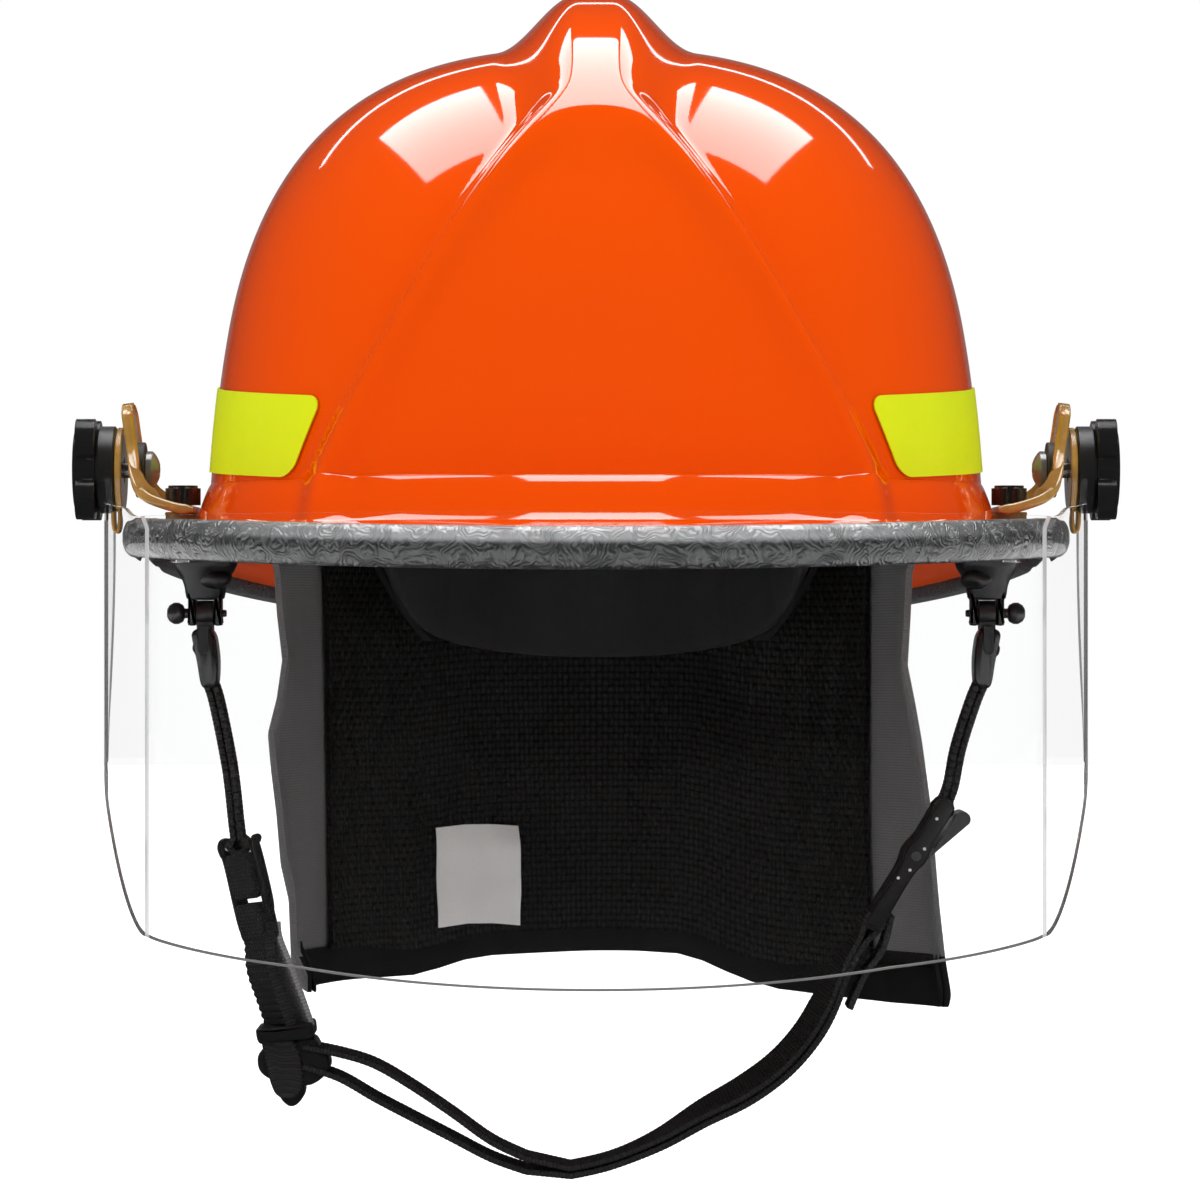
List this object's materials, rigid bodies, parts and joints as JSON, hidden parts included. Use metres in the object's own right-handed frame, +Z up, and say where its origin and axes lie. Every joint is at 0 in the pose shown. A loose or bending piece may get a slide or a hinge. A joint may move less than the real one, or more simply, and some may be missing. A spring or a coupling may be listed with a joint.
{
  "type": "fire helmet",
  "caption": "Fire helmet with a keeled shell, brim trim, clear swinging face shield, neck cape, inner suspension and an adjustable chin strap.",
  "frame": {"origin": "centre of the head opening at the height of the brim's side edges", "axes": "-Y to the front, where the face shield is, +X to the left side of the wearer, +Z up to the crown"},
  "size_m": [0.32, 0.3935, 0.3605],
  "materials": {
    "shell": "glossy orange paint",
    "trim": "matt, finely wrinkled",
    "tape": "fluorescent lime",
    "foam": "foamed",
    "moulded_black": "satin black",
    "webbing": "woven",
    "pad": "soft",
    "cape": "woven cloth",
    "lining": "mesh cloth",
    "label": "plain",
    "amber": "moulded amber",
    "steel": "bright",
    "washer": "matt",
    "lens": "clear",
    "grey_web": "woven"
  },
  "bodies": {
    "helmet": {"shell": "shell", "edge_trim": "trim", "reflective_tapes": "tape", "impact_cap": "foam", "suspension_keys": "moulded_black", "crown_straps": "webbing", "crown_pad": "pad", "headband": "moulded_black", "brow_pad": "pad", "nape_pad": "pad", "ratchet_housing": "moulded_black", "neck_cape": "cape", "cape_lining": "lining", "cape_tag": "label", "bracket_left": "amber", "bracket_right": "amber", "bracket_screws": "moulded_black", "bracket_nuts": "steel", "pivot_screws": "steel", "pivot_washers": "washer", "hanger_left": "moulded_black", "hanger_right": "moulded_black", "hanger_pins": "steel", "ring_bracket": "moulded_black", "ring_screws": "steel"},
    "face_shield": {"lens": "lens", "shield_plates": "amber", "shield_collars": "moulded_black"},
    "left_knob": {"knob_left": "moulded_black"},
    "right_knob": {"knob_right": "moulded_black"},
    "size_knob": {"ratchet_knob": "moulded_black"},
    "chin_strap": {"strap_clips": "moulded_black", "strap_web_left": "webbing", "strap_slide": "moulded_black", "strap_web_ribbed": "webbing", "strap_tail": "grey_web", "strap_keeper": "moulded_black", "strap_web_chin": "webbing", "buckle_frame": "moulded_black", "strap_web_right": "webbing"},
    "lever": {"buckle_lever": "moulded_black"},
    "ring": {"hanging_ring": "steel"}
  },
  "joints": [
    {"name": "shield_swing", "type": "hinge", "parent": "helmet", "child": "face_shield", "pos_m": [0, 0.003, 0.021], "axis": [-1, 0, 0], "range_deg": [0, 100]},
    {"name": "left_knob_turn", "type": "hinge", "parent": "helmet", "child": "left_knob", "pos_m": [-0.1565, 0.003, 0.021], "axis": [-1, 0, 0], "range_deg": [0, 180]},
    {"name": "right_knob_turn", "type": "hinge", "parent": "helmet", "child": "right_knob", "pos_m": [0.1565, 0.003, 0.021], "axis": [1, 0, 0], "range_deg": [0, 180]},
    {"name": "size_knob_turn", "type": "hinge", "parent": "helmet", "child": "size_knob", "pos_m": [0, 0.1114, -0.014], "axis": [0, 1, 0], "range_deg": [-360, 360]},
    {"name": "strap_swing", "type": "hinge", "parent": "helmet", "child": "chin_strap", "pos_m": [0, 0, -0.0231], "axis": [-1, 0, 0], "range_deg": [-4, 35]},
    {"name": "lever_lift", "type": "hinge", "parent": "chin_strap", "child": "lever", "pos_m": [0.0975, 0, -0.097], "axis": [0, 1, 0], "range_deg": [0, 70]},
    {"name": "ring_swing", "type": "hinge", "parent": "helmet", "child": "ring", "pos_m": [0, 0.1809, -0.0224], "axis": [1, 0, 0], "range_deg": [-30, 50]}
  ]
}
